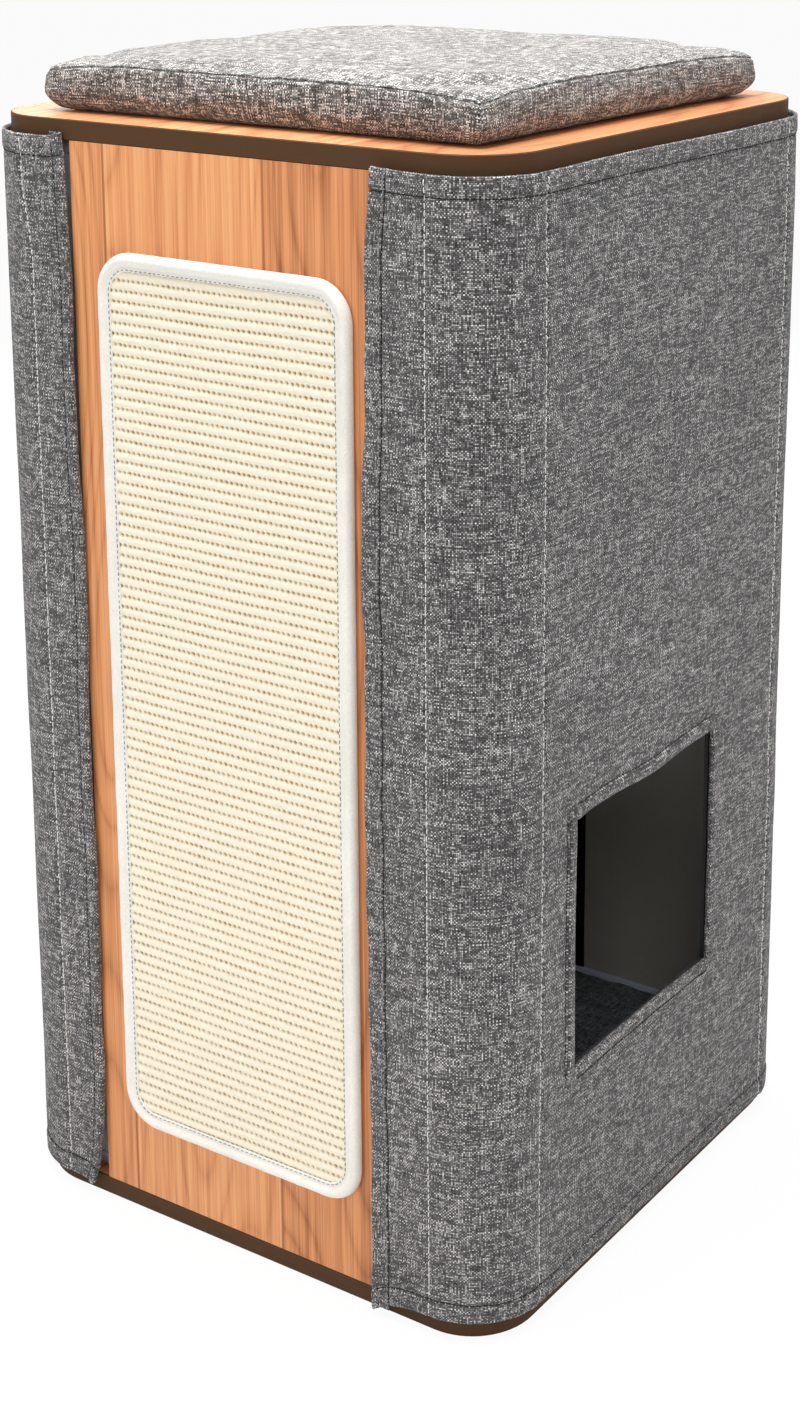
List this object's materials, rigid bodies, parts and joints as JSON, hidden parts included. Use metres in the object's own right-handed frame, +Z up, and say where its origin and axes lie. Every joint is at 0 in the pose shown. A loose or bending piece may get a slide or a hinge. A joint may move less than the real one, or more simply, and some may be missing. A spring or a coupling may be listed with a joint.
{
  "type": "cat condo",
  "caption": "Tall square cat condo: a fabric-walled den with a side entrance between round-cornered boards, a sisal scratching mat on its front panel and a loose cushion on top and inside.",
  "frame": {"origin": "middle of the base board's underside, on the floor", "axes": "+Z up, -Y out of the front panel with the scratching mat, +X out of the wall with the entrance"},
  "size_m": [0.3702, 0.3715, 0.7133],
  "materials": {
    "board": "walnut-look foil on fibreboard, satin, fine straight grain",
    "edge_band": "matte dark brown edge band",
    "dowel": "plain fluted beech",
    "bolt_steel": "zinc-plated",
    "cam_zinc": "die-cast, matte",
    "lining": "bluish-grey non-woven",
    "closing_tape": "black hook-and-loop tape",
    "stiffener": "plain sheet, hidden",
    "cover_cloth": "heathered grey plain weave",
    "mat_latex": "thin latex backing",
    "sisal": "coarse ribbed sisal weave, cream",
    "binding": "soft white binding tape",
    "top_cushion_cloth": "heathered grey plain weave",
    "floor_cushion_cloth": "charcoal plain weave",
    "foam": "soft polyurethane foam"
  },
  "bodies": {
    "condo": {"base_board": "board", "base_edge_band": "edge_band", "top_board": "board", "top_edge_band": "edge_band", "front_panel": "board", "back_panel": "board", "wood_dowels": "dowel", "cam_bolts": "bolt_steel", "cam_locks": "cam_zinc", "liner_front": "lining", "liner_left": "lining", "liner_back": "lining", "liner_right": "lining", "liner_corner_front_left": "lining", "liner_corner_rear_left": "lining", "liner_corner_rear_right": "lining", "liner_corner_front_right": "lining", "back_closing_tape": "closing_tape", "stiffener_left": "stiffener", "stiffener_right": "stiffener", "stiffener_corner_front_left": "stiffener", "stiffener_corner_rear_left": "stiffener", "stiffener_corner_rear_right": "stiffener", "stiffener_corner_front_right": "stiffener", "stiffener_flap_left": "stiffener", "stiffener_flap_right": "stiffener", "stiffener_back": "stiffener", "cover_flap_left": "cover_cloth", "cover_corner_front_left": "cover_cloth", "cover_left": "cover_cloth", "cover_corner_rear_left": "cover_cloth", "cover_back": "cover_cloth", "cover_corner_rear_right": "cover_cloth", "cover_right": "cover_cloth", "cover_corner_front_right": "cover_cloth", "cover_flap_right": "cover_cloth", "mat_backing": "mat_latex", "sisal_weave": "sisal", "mat_binding": "binding"},
    "top_cushion": {"top_cushion_cover": "top_cushion_cloth", "top_cushion_foam": "foam"},
    "floor_cushion": {"floor_cushion_cover": "floor_cushion_cloth", "floor_cushion_foam": "foam"}
  },
  "joints": [
    {"name": "top_cushion_lift", "type": "slide", "parent": "condo", "child": "top_cushion", "axis": [0, 0, 1], "range_m": [0, 0.12]},
    {"name": "floor_cushion_lift", "type": "slide", "parent": "condo", "child": "floor_cushion", "axis": [0, 0, 1], "range_m": [0, 0.08]}
  ]
}
